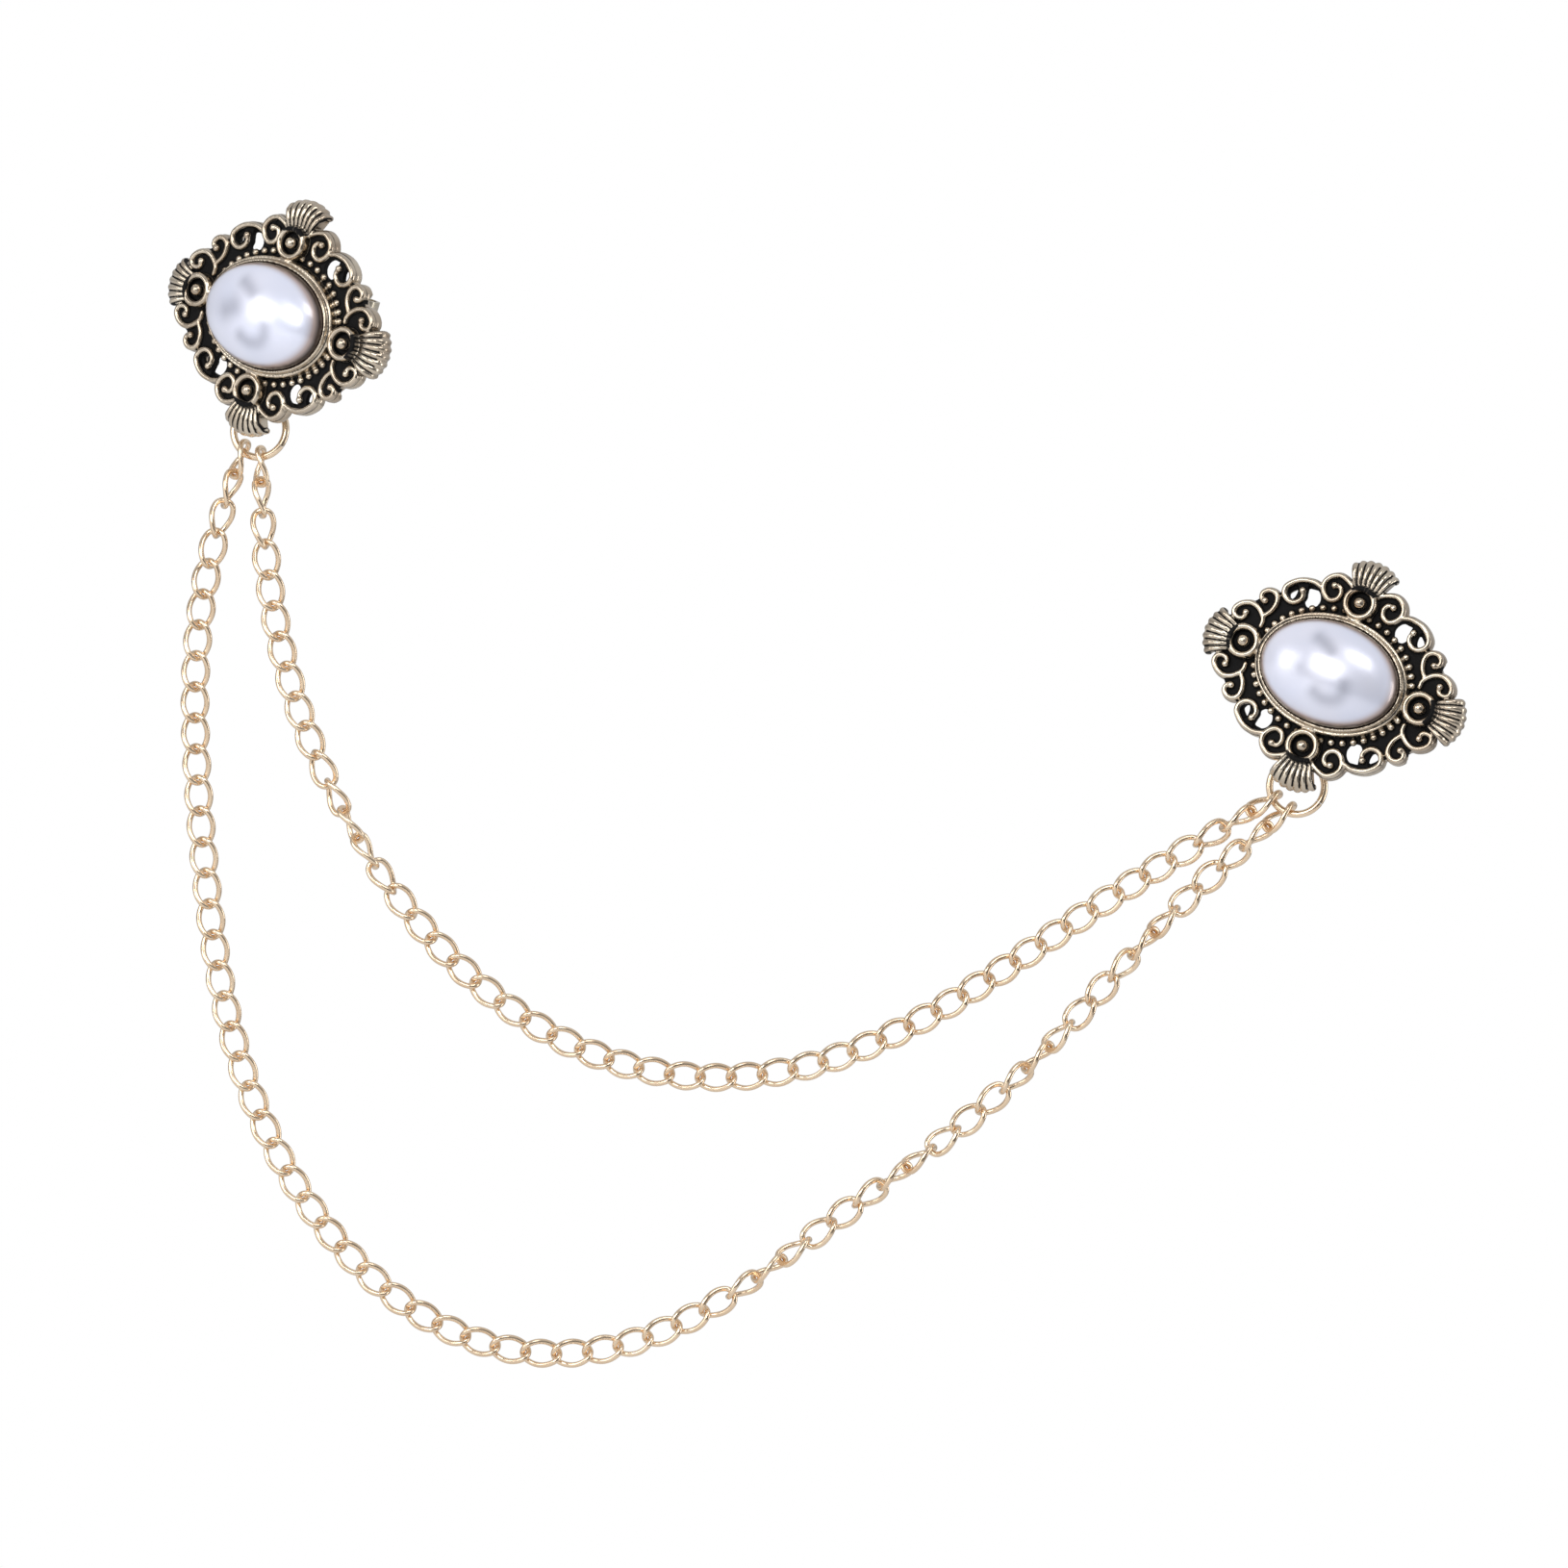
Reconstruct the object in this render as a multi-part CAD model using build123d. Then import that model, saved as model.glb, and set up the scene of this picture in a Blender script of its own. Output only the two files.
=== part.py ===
from build123d import *
import math
import os

# A pair of ornate tacks joined by two swags of curb chain, hung as they are worn.
# +Z is up, +X runs from the left tack to the right one, the fronts face -Y.
# The origin is on the left post, halfway along its bare length. Units are millimetres.

os.makedirs("parts", exist_ok=True)

# How the two tacks are set
SPAN = 104.55           # from ring pivot to ring pivot, along X
RISE = 7.35             # and up
LEFT_YAW = 35.0         # each front turned towards -X, about the vertical
RIGHT_YAW = 16.0
LEFT_ROLL = -7.5        # about the front's own normal, clockwise seen from the front
RIGHT_ROLL = -1.0
LEFT_LEAN = 10.0        # the top leans forward
RIGHT_LEAN = -2.0

# Casting, seen from the front: x is its long axis, z its short one, y = 0 its back
PLATE_T = 1.3
FRONT = -PLATE_T
BEZEL_X = 15.4
BEZEL_Z = 11.4
BEZEL_H = 1.55          # above the plate's front
BEZEL_STEP = 0.3
PEARL_X = 14.0
PEARL_Z = 10.0
PEARL_FOOT = 1.1        # straight part of the pearl's edge
PEARL_H = 4.5
GLUE_T = 0.3
RIDGE_W = 0.5
RIDGE_H = 0.45
BEAD_R = 0.3
BEAD_COUNT = 9          # in each quarter
BEAD_X = 7.95
BEAD_Z = 6.3
BEAD_FIRST = 16.5
BEAD_STEP = 8.06
BOSS_X = 9.3
BOSS_Z = 7.35
BOSS_R = 1.7
BOSS_H = 1.3
BOSS_GROOVE_R = 1.2
BOSS_BEAD_R = 0.58
FAN_RIBS = 7
FAN_STEP = 7.8          # angle from rib to rib
FAN_HUB = 1.4           # the ribs' meeting point, inwards of the boss's centre
FAN_IN = 2.9            # ribs start and end, from that point
FAN_OUT = 5.38
FAN_R_IN = 0.26
FAN_R_OUT = 0.42
FAN_RISE = 0.45         # ribs' lines above the plate's front where they start
FAN_FALL = 0.1          # and below it where they end

# Fastening
POST_Z = 2.0
POST_D = 1.15
POST_THIN_D = 1.0       # past the stop groove
POST_END = 10.0         # tip, from the casting's back
POST_GROOVE = 0.6        # width of the grooves
POINT_L = 1.2           # tapered point
PAD_D = 5.0
PAD_T = 0.7
STOP_AT = 4.6           # groove where the clutch comes to rest, from the casting's back
CLUTCH_AT = 4.9         # clutch's front face
CLUTCH_D = 11.0
CLUTCH_FLAT = 5.0       # its disc is cut flat above and below, in line with the ears
CLUTCH_T = 0.5
CLUTCH_BORE = 1.4
TUBE_D = 2.6
TUBE_H = 1.2
HINGE_X = 3.3           # wing pins, from the post's centre
HINGE_Y = 1.3           # and from the clutch's front face
PIN_D = 0.6
EAR_T = 0.5
WING_W = 3.6
WING_T = 0.35

# Jump rings and the staples they hang from
RING_D = 6.0
RING_WIRE = 0.7
LEFT_RING_YAW = 20.0
RIGHT_RING_YAW = 10.0
PIVOT_Z = 8.3           # top of the ring below the casting's centre
PIVOT_Y = 1.9           # behind the casting's back
STAPLE_WIRE = 0.7
STAPLE_GAP = 0.06

# Curb chain
LINK_L = 4.1
LINK_W = 2.8
LINK_WIRE = 0.53
LINK_TILT = 47.0        # slope of a link's end bars
LINK_SKEW = 25.0        # slope of its sides
PITCH = 2.97
INNER_LINKS = 48
OUTER_LINKS = 65
END_GAP = 0.3           # end bar to ring wire


class Tack:
    def __init__(self, side, yaw, roll, lean, ring_yaw):
        self.side = side
        self.ring_yaw = math.radians(ring_yaw)
        self.yaw = math.radians(yaw)
        self.roll = math.radians(roll)
        self.lean = math.radians(lean)
        self.origin = Vector(0, 0, 0)

    def way(self, x, y, z):
        # roll about the front's normal, then yaw about the vertical, then lean
        x1 = x * math.cos(self.roll) + z * math.sin(self.roll)
        z1 = z * math.cos(self.roll) - x * math.sin(self.roll)
        x2 = x1 * math.cos(self.yaw) + y * math.sin(self.yaw)
        y2 = y * math.cos(self.yaw) - x1 * math.sin(self.yaw)
        y3 = y2 * math.cos(self.lean) - z1 * math.sin(self.lean)
        z3 = y2 * math.sin(self.lean) + z1 * math.cos(self.lean)
        return Vector(x2, y3, z3)

    def at(self, x, y, z):
        return self.origin + self.way(x, y, z)

    def plane(self):
        return Plane(origin=self.origin, x_dir=self.way(1, 0, 0), z_dir=self.way(0, 0, 1))

    def across(self):
        # the level line along which the hanging ring lies
        return Vector(math.cos(self.ring_yaw), -math.sin(self.ring_yaw), 0)


POST_BARE = (PAD_T + STOP_AT) / 2
LEFT = Tack("left", LEFT_YAW, LEFT_ROLL, LEFT_LEAN, LEFT_RING_YAW)
LEFT.origin = LEFT.at(0, POST_BARE, POST_Z) * -1
RIGHT = Tack("right", RIGHT_YAW, RIGHT_ROLL, RIGHT_LEAN, RIGHT_RING_YAW)
LEFT_PIVOT = LEFT.at(0, PIVOT_Y, -PIVOT_Z)
RIGHT_PIVOT = LEFT_PIVOT + Vector(SPAN, 0, RISE)
RIGHT.origin = RIGHT_PIVOT - RIGHT.at(0, PIVOT_Y, -PIVOT_Z)
RING_R = (RING_D - RING_WIRE) / 2


def ring_point(tack, pivot, angle):
    # where a link's end bar sits inside the ring, at an angle from the ring's own right
    reach = RING_R - (RING_WIRE + LINK_WIRE) / 2 - END_GAP
    a = math.radians(angle)
    centre = pivot - Vector(0, 0, RING_R)
    return centre + tack.across() * (reach * math.cos(a)) + Vector(0, 0, reach * math.sin(a))


def catenary(start, end, length):
    # the curve z = low + a * cosh((s - mid) / a) of that length through both points
    flat = Vector(end.X - start.X, end.Y - start.Y, 0)
    span = flat.length
    rise = end.Z - start.Z
    goal = math.sqrt(length * length - rise * rise) / span
    low_x, high_x = 0.01, 12.0
    for _ in range(80):
        half = (low_x + high_x) / 2
        if math.sinh(half) / half < goal:
            low_x = half
        else:
            high_x = half
    a = span / (2 * half)
    mid = span / 2 - a * math.asinh(rise / (2 * a * math.sinh(span / (2 * a))))
    first = math.sinh(-mid / a)

    def point(along):
        s = mid + a * math.asinh(along / a + first)
        z = start.Z + a * (math.cosh((s - mid) / a) - math.cosh(mid / a))
        slope = math.sinh((s - mid) / a)
        way = (flat.normalized() + Vector(0, 0, slope)).normalized()
        here = Vector(start.X, start.Y, 0) + flat.normalized() * s + Vector(0, 0, z)
        return here, way

    return point, flat.normalized()


def twist_at(index, steps):
    # straight-line steps between (link, degrees) pairs
    before = steps[0]
    for after in steps[1:]:
        if index <= after[0]:
            share = (index - before[0]) / (after[0] - before[0])
            return before[1] + share * (after[1] - before[1])
        before = after
    return before[1]


def swag(start, end, length, sway):
    # a catenary pushed inwards by half waves, as friction between the links holds it
    steps = 1200
    spots = []
    trial = length
    for _ in range(8):
        point, flat = catenary(start, end, trial)
        spots = []
        for k in range(steps + 1):
            here, way = point(trial * k / steps)
            push = sum(size * math.sin(math.pi * (n + 1) * k / steps) for n, size in enumerate(sway))
            spots.append(here + flat.cross(Vector(0, 0, 1)).cross(way) * push)
        run = [0.0]
        for k in range(steps):
            run.append(run[-1] + (spots[k + 1] - spots[k]).length)
        trial = trial + length - run[-1]

    def point_at(along):
        k = min(int(along / length * steps), steps - 1)
        while run[k] > along and k > 0:
            k = k - 1
        while run[k + 1] < along and k < steps - 1:
            k = k + 1
        step = spots[k + 1] - spots[k]
        return spots[k] + step * ((along - run[k]) / step.length), step.normalized()

    return point_at, flat


def link_planes(start, end, count, steps, sway):
    reach = (LINK_L - LINK_WIRE) / 2
    length = (count - 1) * PITCH + 2 * reach
    point, flat = swag(start, end, length, sway)
    out = []
    for i in range(count):
        here, way = point(reach + i * PITCH)
        front = Vector(0, 0, 1).cross(flat)
        a = math.radians(twist_at(i, steps))
        thick = front * math.cos(a) + way.cross(front) * math.sin(a)
        out.append(Plane(origin=here, x_dir=way, z_dir=way.cross(thick)))
    return out


# Where each chain's end bar sits in its ring, and how its links turn: (link, degrees)
INNER_LEFT_AT = -62.0
OUTER_LEFT_AT = -118.0
INNER_RIGHT_AT = -136.0
OUTER_RIGHT_AT = -76.0
INNER_TWIST = [(0, 80), (3.2, 180), (9, 180), (15.5, 360), (43.8, 360), (47, 468)]
OUTER_TWIST = [(0, 84), (3.4, 180), (39.5, 180), (42.1, 270), (47.4, 450), (53.1, 630),
               (58.3, 812), (64, 1008)]
# How each chain strays from a catenary, inwards, as sizes of one, two, three ... half waves
INNER_SWAY = [-0.7, -1.05, 0.8, -0.9]
OUTER_SWAY = [-0.05, -2.85, 0.35, -0.65, -0.5, -0.25, 0.15, -0.45]


def inner_planes():
    start = ring_point(LEFT, LEFT_PIVOT, INNER_LEFT_AT)
    end = ring_point(RIGHT, RIGHT_PIVOT, INNER_RIGHT_AT)
    return link_planes(start, end, INNER_LINKS, INNER_TWIST, INNER_SWAY)


def outer_planes():
    start = ring_point(LEFT, LEFT_PIVOT, OUTER_LEFT_AT)
    end = ring_point(RIGHT, RIGHT_PIVOT, OUTER_RIGHT_AT)
    return link_planes(start, end, OUTER_LINKS, OUTER_TWIST, OUTER_SWAY)


def arc_tube(start, way, end, radius):
    # a round wire bent along the arc that leaves start along way and reaches end
    chord = end - start
    half = math.acos(chord.normalized().dot(way))
    bend = chord.length / (2 * math.sin(half))
    inward = way.cross(chord).cross(way).normalized()
    axis = Axis(start + inward * bend, way.cross(inward))
    disc = Face(Wire([Edge.make_circle(radius, Plane(origin=start, z_dir=way))]))
    tube = revolve(disc, axis=axis, revolution_arc=math.degrees(2 * half))
    return tube.faces().filter_by(GeomType.TORUS)[0]


def curb_link():
    # eight arcs: each quarter joins a sloping end bar to a sloping side
    half_l = (LINK_L - LINK_WIRE) / 2
    half_w = (LINK_W - LINK_WIRE) / 2
    tilt = math.radians(LINK_TILT)
    skew = math.radians(LINK_SKEW)
    end = Vector(half_l, 0, 0)
    end_way = Vector(0, math.sin(tilt), math.cos(tilt))
    side = Vector(0, 0, half_w)
    side_way = Vector(-math.cos(skew), -math.sin(skew), 0)
    gap = side - end
    both = end_way + side_way
    k = 2 * (1 - end_way.dot(side_way))
    run = (math.sqrt(gap.dot(both) ** 2 + k * gap.dot(gap)) - gap.dot(both)) / k
    meet = (end + end_way * run + side - side_way * run) * 0.5
    radius = LINK_WIRE / 2
    quarter = [arc_tube(end, end_way, meet, radius), arc_tube(side, side_way * -1, meet, radius)]
    faces = []
    for face in quarter:
        faces.append(face)
        faces.append(face.rotate(Axis.X, 180))
        faces.append(face.rotate(Axis.Y, 180))
        faces.append(face.rotate(Axis.Z, 180))
    return Solid(Shell(faces))


# Casting: one quarter's scrolls, as points (x, z) along each ridge
SCROLL_TOP = [(1.2, 8.45), (2.0, 8.95), (2.95, 9.2), (3.75, 8.8), (4.15, 8.1), (4.05, 7.4),
              (3.6, 6.85), (3.05, 6.65), (2.45, 6.95), (2.25, 7.6), (2.5, 8.1), (3.0, 8.2)]
SCROLL_HOOK = [(4.3, 7.5), (5.0, 7.7), (5.7, 7.65), (6.4, 7.45), (7.05, 7.0), (7.5, 6.45),
               (7.55, 5.9), (7.25, 5.4), (6.7, 5.15), (6.15, 5.25), (5.75, 5.65), (5.65, 6.1),
               (5.8, 6.55)]
SCROLL_SIDE = [(8.5, 2.95), (8.0, 3.65), (7.8, 4.4), (7.9, 5.05), (8.35, 5.45), (8.95, 5.45),
               (9.4, 5.05), (9.4, 4.55), (9.1, 4.25)]
SCROLL_END = [(8.4, 1.9), (8.4, 2.5), (8.7, 3.0), (9.3, 3.5), (10.1, 3.7), (10.9, 3.4),
              (11.4, 2.8), (11.35, 2.2), (10.9, 1.95), (10.4, 2.05), (10.15, 2.45)]
SCROLLS = [SCROLL_TOP, SCROLL_HOOK, SCROLL_SIDE, SCROLL_END]
CURL_BALLS = [(3.15, 8.1), (5.85, 6.6), (8.9, 4.35), (10.2, 2.7)]
CURL_BALL_R = 0.34
OPENING_WIDE = [(3.95, 6.2), (4.3, 6.95), (5.1, 7.3), (5.5, 7.25), (5.4, 6.5), (5.45, 5.75),
                (5.0, 5.25), (4.25, 5.45)]
OPENING_SLIM = [(6.7, 6.95), (7.15, 6.65), (7.3, 6.1), (7.05, 5.5), (6.65, 5.4), (6.4, 5.85), (6.4, 6.5)]
# the back is hollowed round the openings, so that the pierced floor is thin
POCKET = [(2.9, 6.1), (2.9, 6.6), (3.9, 7.0), (5.0, 7.25), (6.2, 6.95), (7.0, 6.35), (7.1, 5.5),
          (7.9, 4.6), (8.0, 3.7), (7.3, 3.5), (6.3, 4.5), (4.8, 5.5)]
POCKET_DEPTH = 0.7
PLATE_EDGE = [(0, 0), (0, 9.2), (2.2, 9.2), (3.7, 8.4), (4.4, 7.6), (6.3, 7.4), (7.3, 6.5), (7.8, 5.7),
              (8.6, 5.2), (9.5, 4.5), (10.2, 3.7), (11.2, 3.0), (11.6, 2.2), (11.9, 0)]
EDGE_W = 0.8
FRONT_PLANE = Plane(origin=(0, FRONT, 0), x_dir=(1, 0, 0), z_dir=(0, -1, 0))
BACK_PLANE = Plane(origin=(0, 0, 0), x_dir=(1, 0, 0), z_dir=(0, -1, 0))


def band(points, width):
    return trace(Spline(*points), line_width=width)


def fan_hubs():
    # (x, z, angle outwards) of the four places the fans' ribs start from
    return [(BOSS_X - FAN_HUB, 0, 0), (0, BOSS_Z - FAN_HUB, 90),
            (FAN_HUB - BOSS_X, 0, 180), (0, FAN_HUB - BOSS_Z, 270)]


def plate_quarter():
    edge = make_face(Polyline(*PLATE_EDGE, close=True))
    ridge = Sketch()
    for points in SCROLLS:
        edge = edge + band(points, EDGE_W)
        ridge = ridge + band(points, RIDGE_W)
    hole = make_face(Spline(*OPENING_WIDE, periodic=True)) + make_face(Spline(*OPENING_SLIM, periodic=True))
    quarter = extrude(BACK_PLANE * (edge - hole), amount=PLATE_T)
    hollow = make_face(Polyline(*POCKET, close=True))
    quarter = quarter - extrude(BACK_PLANE.offset(-0.2) * hollow, amount=POCKET_DEPTH + 0.2)
    quarter = quarter + extrude(FRONT_PLANE.offset(-0.1) * ridge, amount=RIDGE_H + 0.1)
    for x, z in CURL_BALLS:
        quarter = quarter + Pos(x, FRONT - RIDGE_H / 2, z) * Sphere(CURL_BALL_R)
    for i in range(BEAD_COUNT):
        a = math.radians(BEAD_FIRST + i * BEAD_STEP)
        quarter = quarter + Pos(BEAD_X * math.cos(a), FRONT, BEAD_Z * math.sin(a)) * Sphere(BEAD_R)
    return quarter


def plate():
    quarter = plate_quarter()
    half = quarter + quarter.mirror(Plane.YZ)
    return half + half.mirror(Plane.XY)


def bezel():
    foot = extrude(FRONT_PLANE * Ellipse(BEZEL_X / 2, BEZEL_Z / 2), amount=BEZEL_H - BEZEL_STEP)
    lip = extrude(FRONT_PLANE * Ellipse(BEZEL_X / 2 - 0.22, BEZEL_Z / 2 - 0.22), amount=BEZEL_H)
    well = extrude(FRONT_PLANE * Ellipse(PEARL_X / 2 + 0.03, PEARL_Z / 2 + 0.03), amount=BEZEL_H)
    return foot + lip, well


def boss(x, z):
    drum = extrude(FRONT_PLANE * Circle(BOSS_R), amount=BOSS_H)
    drum = drum - extrude(FRONT_PLANE.offset(0.35) * Circle(BOSS_GROOVE_R), amount=BOSS_H)
    stem = extrude(FRONT_PLANE * Circle(BOSS_BEAD_R - 0.08), amount=BOSS_H - 0.3)
    drum = drum + stem + Pos(0, FRONT - BOSS_H + 0.3, 0) * Sphere(BOSS_BEAD_R)
    return Pos(x, 0, z) * drum


def rib(inner, outer):
    # a tapered bar with a round end
    rise = outer - inner
    long = rise.length
    taper = make_face(Polyline((0, 0), (FAN_R_IN, 0), (FAN_R_OUT, long), (0, long), close=True))
    tip = make_face([Line((0, long), (FAN_R_OUT, long)),
                     RadiusArc((FAN_R_OUT, long), (0, long + FAN_R_OUT), -FAN_R_OUT),
                     Line((0, long + FAN_R_OUT), (0, long))])
    bar = revolve(Plane(origin=(0, 0, 0), x_dir=(1, 0, 0), z_dir=(0, -1, 0)) * (taper + tip), axis=Axis.Z)
    return Plane(origin=inner, z_dir=rise) * bar


def fan(x, z, outwards):
    # a shell of ribs that widen outwards and turn down over the edge
    def spot(reach, turn):
        a = math.radians(outwards + turn)
        return x + reach * math.cos(a), z + reach * math.sin(a)

    edge = [spot(FAN_IN, turn) for turn in (-22, 0, 22)]
    edge = edge + [spot(FAN_OUT, turn) for turn in (22, 11, 0, -11, -22)]
    shell = extrude(BACK_PLANE * make_face(Polyline(*edge, close=True)), amount=PLATE_T)
    for i in range(FAN_RIBS):
        off = i - (FAN_RIBS - 1) / 2
        near = spot(FAN_IN, off * FAN_STEP)
        far = spot(FAN_OUT - 0.035 * off * off, off * FAN_STEP)
        inner = Vector(near[0], FRONT - FAN_RISE, near[1])
        outer = Vector(far[0], FRONT + FAN_FALL, far[1])
        shell = shell + rib(inner, outer)
        shell = shell + extrude(BACK_PLANE * Pos(far[0], far[1]) * Circle(FAN_R_OUT - 0.05), amount=-outer.Y)
    return shell


def staple():
    # the loop on the back that the jump ring hangs in
    wire = STAPLE_WIRE / 2
    low = -PIVOT_Z - RING_WIRE / 2 - STAPLE_GAP - wire
    bend = 1.15
    deep = PIVOT_Y + 0.3
    legs = Pos(0, deep / 2, low) * Rot(90, 0, 0) * Cylinder(wire, deep)
    legs = legs + Pos(0, deep / 2, low + 2 * bend) * Rot(90, 0, 0) * Cylinder(wire, deep)
    end = Pos(0, deep, low + bend) * Rot(0, 90, 0) * Torus(bend, wire)
    end = end & Pos(0, deep + 2.5, low + bend) * Box(5, 5, 5)
    return legs + end


def casting():
    foot, well = bezel()
    whole = plate() + foot
    for x, z in ((BOSS_X, 0), (-BOSS_X, 0), (0, BOSS_Z), (0, -BOSS_Z)):
        whole = whole + boss(x, z)
    for x, z, outwards in fan_hubs():
        whole = whole + fan(x, z, outwards)
    return whole + staple() - well


def pearl():
    base = FRONT - GLUE_T
    foot = extrude(Plane(origin=(0, base, 0), x_dir=(1, 0, 0), z_dir=(0, -1, 0))
                   * Ellipse(PEARL_X / 2, PEARL_Z / 2), amount=PEARL_FOOT)
    profile = Ellipse(PEARL_X / 2, PEARL_H - PEARL_FOOT)
    profile = profile & Pos(PEARL_X / 4, PEARL_H / 2) * Rectangle(PEARL_X / 2, PEARL_H)
    dome = revolve(profile, axis=Axis.Y)
    dome = scale(dome, by=(1, 1, PEARL_Z / PEARL_X))
    dome = Pos(0, base - PEARL_FOOT, 0) * (Rot(180, 0, 0) * dome)
    return foot + dome


def glue_bed():
    return extrude(FRONT_PLANE * Ellipse(PEARL_X / 2 - 0.2, PEARL_Z / 2 - 0.2), amount=GLUE_T)


def on_post(y, radius, length):
    # a cylinder round the post's line, from y backwards
    return Pos(0, y + length / 2, POST_Z) * Rot(90, 0, 0) * Cylinder(radius, length)


def tack_pad():
    return on_post(0, PAD_D / 2, PAD_T)


def tack_post():
    post = on_post(PAD_T, POST_D / 2, STOP_AT - PAD_T)
    post = post + on_post(STOP_AT, POST_THIN_D / 2, POST_END - POINT_L - STOP_AT)
    post = post + Pos(0, POST_END - POINT_L / 2, POST_Z) * Rot(-90, 0, 0) * Cone(POST_THIN_D / 2, 0.12, POINT_L)
    for y in (STOP_AT, POST_END - 2.2):
        ring = on_post(y, POST_D, POST_GROOVE) - on_post(y, POST_THIN_D / 2 - 0.1, POST_GROOVE)
        post = post - ring
    return post


def jump_ring(tack, pivot):
    # cut through at one side, where its ends are butted
    gap = 1.0
    centre = pivot - Vector(0, 0, RING_R)
    across = tack.across()
    front = Vector(0, 0, 1).cross(across) * -1
    a = math.radians(-12)
    start = centre + across * (RING_R * math.cos(a)) + Vector(0, 0, RING_R * math.sin(a))
    way = across * -math.sin(a) + Vector(0, 0, math.cos(a))
    disc = Face(Wire([Edge.make_circle(RING_WIRE / 2, Plane(origin=start, z_dir=way))]))
    return revolve(disc, axis=Axis(centre, front), revolution_arc=360 - gap)


def clutch_base():
    disc = on_post(CLUTCH_AT, CLUTCH_D / 2, CLUTCH_T)
    disc = disc & Pos(0, CLUTCH_AT + CLUTCH_T / 2, POST_Z) * Box(CLUTCH_D, CLUTCH_T * 3, CLUTCH_FLAT)
    tube = on_post(CLUTCH_AT, TUBE_D / 2, CLUTCH_T + TUBE_H)
    body = disc + tube
    for side in (-1, 1):
        for end in (-1, 1):
            z = POST_Z + end * (WING_W / 2 + EAR_T / 2 + 0.15)
            ear = Pos(side * HINGE_X, CLUTCH_AT + CLUTCH_T + 0.55, z) * Box(1.3, 1.3, EAR_T)
            body = body + ear
        pin = Pos(side * HINGE_X, CLUTCH_AT + HINGE_Y, POST_Z) * Cylinder(PIN_D / 2, WING_W + 0.6)
        body = body + pin
    return body - on_post(CLUTCH_AT - 1, CLUTCH_BORE / 2, CLUTCH_T + TUBE_H + 2)


def clutch_wing(side):
    # a strip with an eye round its pin, a round finger grip and a jaw at the post
    eye = Pos(HINGE_X, HINGE_Y) * Circle(PIN_D / 2 + 0.06 + WING_T)
    grip = Spline((HINGE_X + 0.4, HINGE_Y + 0.35), (HINGE_X + 0.9, 2.6), (HINGE_X + 0.1, 4.0),
                  (1.8, 3.9), (0.8, 3.0))
    jaw = Line((0.8, 3.0), (0.8, 2.1))
    flat = eye + trace(grip, line_width=WING_T) + trace(jaw, line_width=WING_T)
    flat = flat - Pos(HINGE_X, HINGE_Y) * Circle(PIN_D / 2 + 0.06)
    strip = extrude(flat, amount=WING_W / 2, both=True)
    if side < 0:
        strip = strip.mirror(Plane.YZ)
    return Pos(0, CLUTCH_AT, POST_Z) * strip


def save(shape, name):
    shape.label = name
    export_step(shape, "parts/" + name + ".step")


def save_tack(tack, pivot, casting_shape):
    local = {
        "casting": casting_shape,
        "pearl": pearl(),
        "glue_bed": glue_bed(),
        "tack_pad": tack_pad(),
        "tack_post": tack_post(),
        "clutch_base": clutch_base(),
        "clutch_wing_a": clutch_wing(-1),
        "clutch_wing_b": clutch_wing(1),
    }
    for name, shape in local.items():
        save(tack.plane().location * shape, tack.side + "_" + name)
    save(jump_ring(tack, pivot), tack.side + "_jump_ring")


def save_chain(name, planes, groups):
    link = curb_link()
    count = len(planes)
    for i in range(groups):
        first = i * count // groups
        last = (i + 1) * count // groups
        links = [plane.location * link for plane in planes[first:last]]
        save(Compound(links), name + "_" + str(i + 1))


front = casting()
save_tack(LEFT, LEFT_PIVOT, front)
save_tack(RIGHT, RIGHT_PIVOT, front)
save_chain("inner_chain", inner_planes(), 4)
save_chain("outer_chain", outer_planes(), 6)
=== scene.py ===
import bpy
import math
import numpy as np
from mathutils import Matrix, Vector
from mathutils.geometry import tessellate_polygon


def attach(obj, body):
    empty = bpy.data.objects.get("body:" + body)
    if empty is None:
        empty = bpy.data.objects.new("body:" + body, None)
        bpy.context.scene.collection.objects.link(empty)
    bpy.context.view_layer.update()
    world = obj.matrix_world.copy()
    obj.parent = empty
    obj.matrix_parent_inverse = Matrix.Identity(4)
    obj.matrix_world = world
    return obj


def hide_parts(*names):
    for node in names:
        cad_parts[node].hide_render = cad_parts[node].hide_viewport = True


# A pair of ornate tacks joined by two swags of curb chain, hung as they are worn.
# Castings and pearls are built here in millimetres, in their own frame: x along the long
# axis, y backwards, z up. place() then brings them to metres where the CAD has them.

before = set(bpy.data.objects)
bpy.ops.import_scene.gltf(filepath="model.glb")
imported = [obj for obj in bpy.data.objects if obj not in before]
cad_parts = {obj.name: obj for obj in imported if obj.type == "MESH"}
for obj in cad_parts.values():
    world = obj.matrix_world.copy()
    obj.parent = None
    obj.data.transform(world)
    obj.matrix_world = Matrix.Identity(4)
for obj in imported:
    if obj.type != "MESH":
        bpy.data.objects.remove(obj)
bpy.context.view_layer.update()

MM = 0.001

# The same layout as the CAD
LEFT_SET = (35.0, -7.5, 10.0)       # yaw, roll, lean in degrees
RIGHT_SET = (16.0, -1.0, -2.0)
SPAN = 104.55
RISE = 7.35
POST_Z = 2.0
POST_BARE = 2.65
PIVOT_Z = 8.3
PIVOT_Y = 1.9

# Casting
QUARTERS = [(1, 1), (1, -1), (-1, 1), (-1, -1)]     # signs of x and z
FRONT = -1.3
PEARL_X, PEARL_Z = 14.0, 10.0
PEARL_FOOT, PEARL_H = 1.1, 4.5
GLUE_T = 0.3
BOSS_X, BOSS_Z = 9.3, 7.35
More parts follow.
